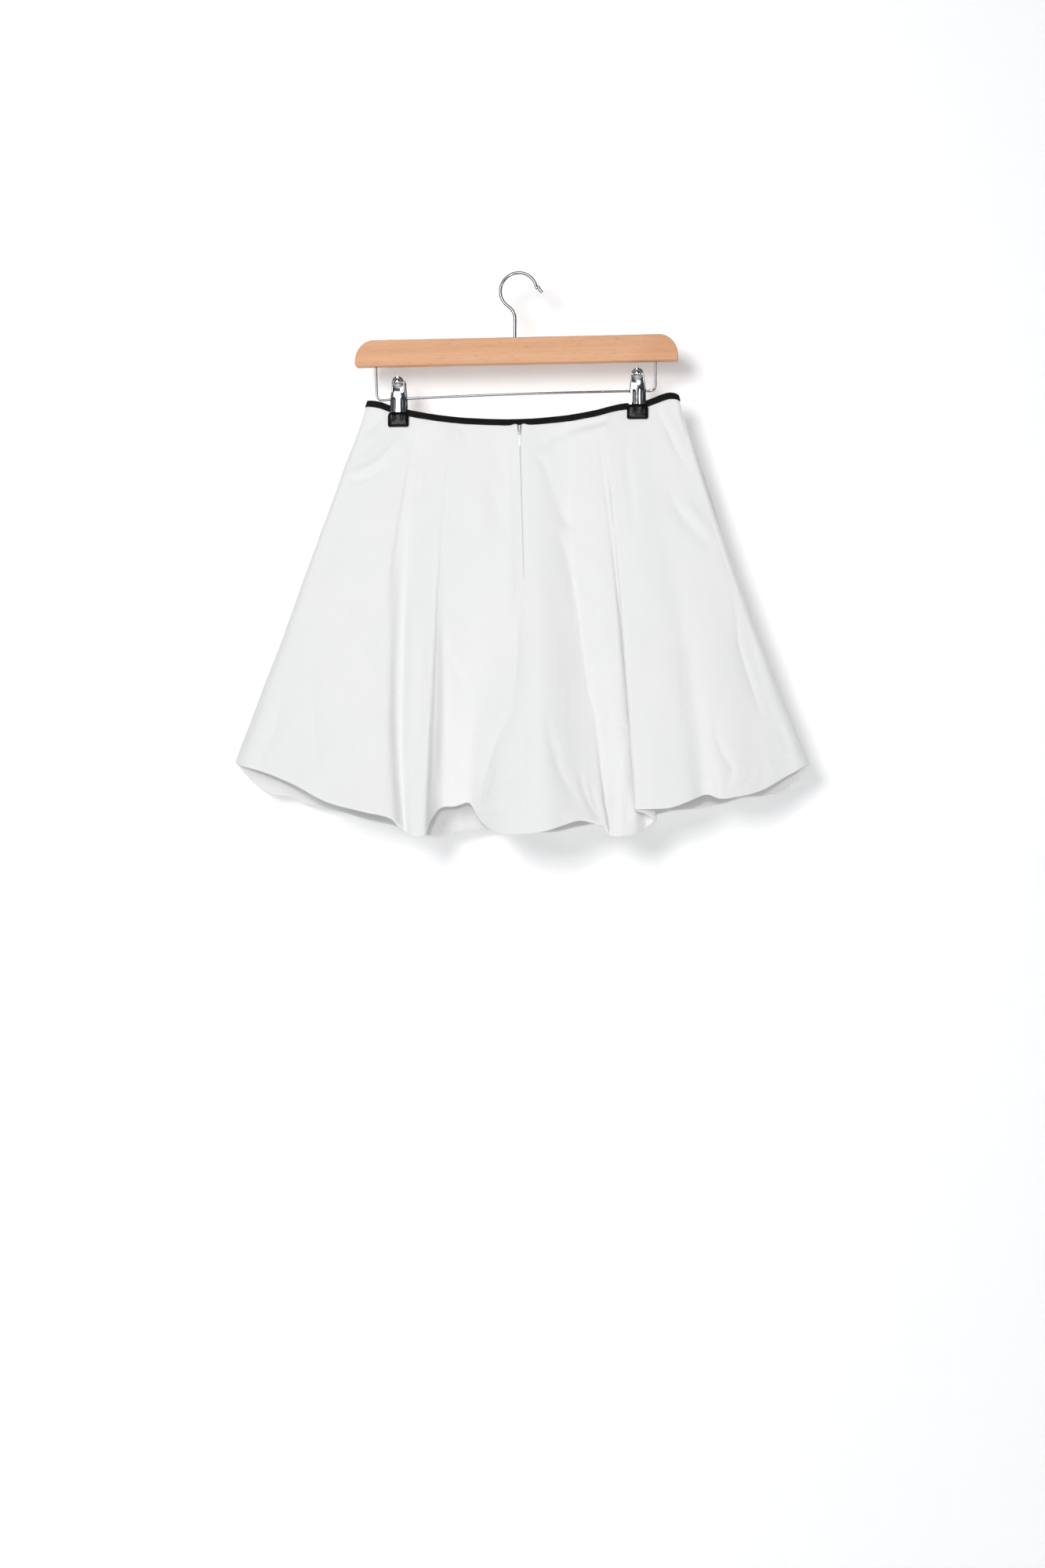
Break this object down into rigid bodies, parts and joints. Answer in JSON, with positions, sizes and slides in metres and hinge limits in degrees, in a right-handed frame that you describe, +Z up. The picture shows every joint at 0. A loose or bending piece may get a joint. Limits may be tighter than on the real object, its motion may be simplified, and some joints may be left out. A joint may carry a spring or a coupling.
{
  "type": "mini skirt on a clip hanger",
  "caption": "White A-line mini skirt with a turned-under hem, black waist binding and back zip, clipped to a wooden bar hanger with a wire hook.",
  "frame": {"origin": "inside of the hook's round top at its highest point, where a rail carries the hanger", "axes": "+X along the hanger bar, +Y from the skirt's back (the zip side) to its front, +Z up"},
  "size_m": [0.6408, 0.104, 0.6294],
  "materials": {
    "white_cloth": "matt, smooth heavy plain weave",
    "black_binding": "matt ribbed tape",
    "white_zip": "white lacquer and woven tape",
    "beech_wood": "satin lacquer over fine straight grain",
    "chrome_steel": "polished",
    "black_dip": "glossy dipped coating"
  },
  "bodies": {
    "garment": {"back_left_panel": "white_cloth", "back_right_panel": "white_cloth", "front_panel": "white_cloth", "binding_back_left": "black_binding", "binding_back_right": "black_binding", "binding_front": "black_binding", "zip_tape": "white_zip", "zip_slider": "white_zip", "hanger_bar": "beech_wood", "hanger_hook": "chrome_steel", "clip_rail": "chrome_steel", "clip_left_jaw_back": "chrome_steel", "clip_left_pad_back": "black_dip", "clip_left_jaw_front": "chrome_steel", "clip_left_pad_front": "black_dip", "clip_left_spring": "chrome_steel", "clip_right_jaw_back": "chrome_steel", "clip_right_pad_back": "black_dip", "clip_right_jaw_front": "chrome_steel", "clip_right_pad_front": "black_dip", "clip_right_spring": "chrome_steel"},
    "pull": {"zip_pull": "white_zip"}
  },
  "joints": [
    {"name": "pull_swing", "type": "hinge", "parent": "garment", "child": "pull", "pos_m": [0.0017, -0.0067, -0.1764], "axis": [-1, 0, 0], "range_deg": [0, 150]}
  ]
}
